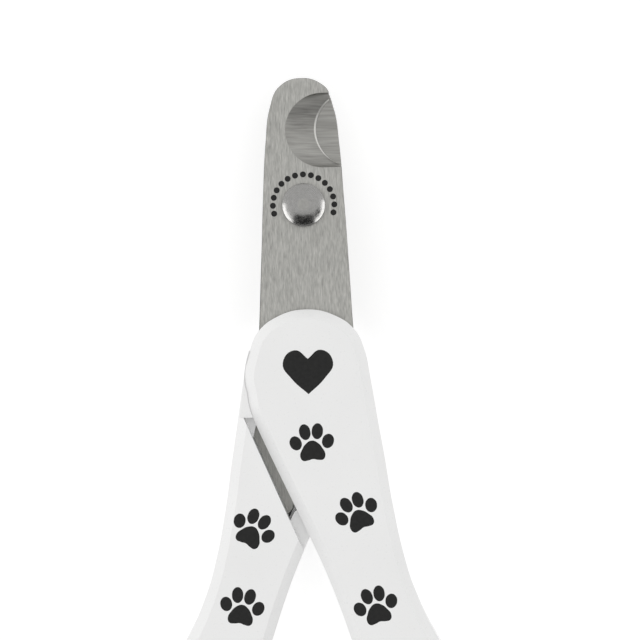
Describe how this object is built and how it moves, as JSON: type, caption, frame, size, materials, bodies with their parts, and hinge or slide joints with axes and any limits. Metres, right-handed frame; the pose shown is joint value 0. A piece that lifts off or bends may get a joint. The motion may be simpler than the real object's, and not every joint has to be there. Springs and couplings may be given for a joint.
{
  "type": "claw clipper",
  "caption": "Scissor-action pet claw clipper: notched steel blades on a rivet, white plastic handles ending in finger loops.",
  "frame": {"origin": "centre of the closed clipper's outline, on the surface that it lies on", "axes": "+Y along the clipper towards the blades' tips, +Z out of the surface that it lies on, through its thickness"},
  "size_m": [0.0646, 0.1199, 0.0088],
  "materials": {
    "blade_steel": "fine lengthwise brushing",
    "rivet_steel": "polished dome, brushed flat",
    "pin_steel": "ground",
    "handle_plastic": "gloss moulded",
    "print_ink": "pad-printed ink"
  },
  "bodies": {
    "rear_half": {"rear_blade": "blade_steel", "rear_handle_shell": "handle_plastic", "rear_grip_cap": "handle_plastic", "rear_tang_pin_upper": "pin_steel", "rear_tang_pin_lower": "pin_steel", "pivot_rivet": "rivet_steel", "rivet_washer": "rivet_steel"},
    "front_half": {"front_blade": "blade_steel", "front_handle_shell": "handle_plastic", "front_grip_cap": "handle_plastic", "front_tang_pin_upper": "pin_steel", "front_tang_pin_lower": "pin_steel"}
  },
  "joints": [
    {"name": "pivot", "type": "hinge", "parent": "rear_half", "child": "front_half", "pos_m": [0, 0.0454, 0.0044], "axis": [0, 0, 1], "range_deg": [0, 55]}
  ]
}
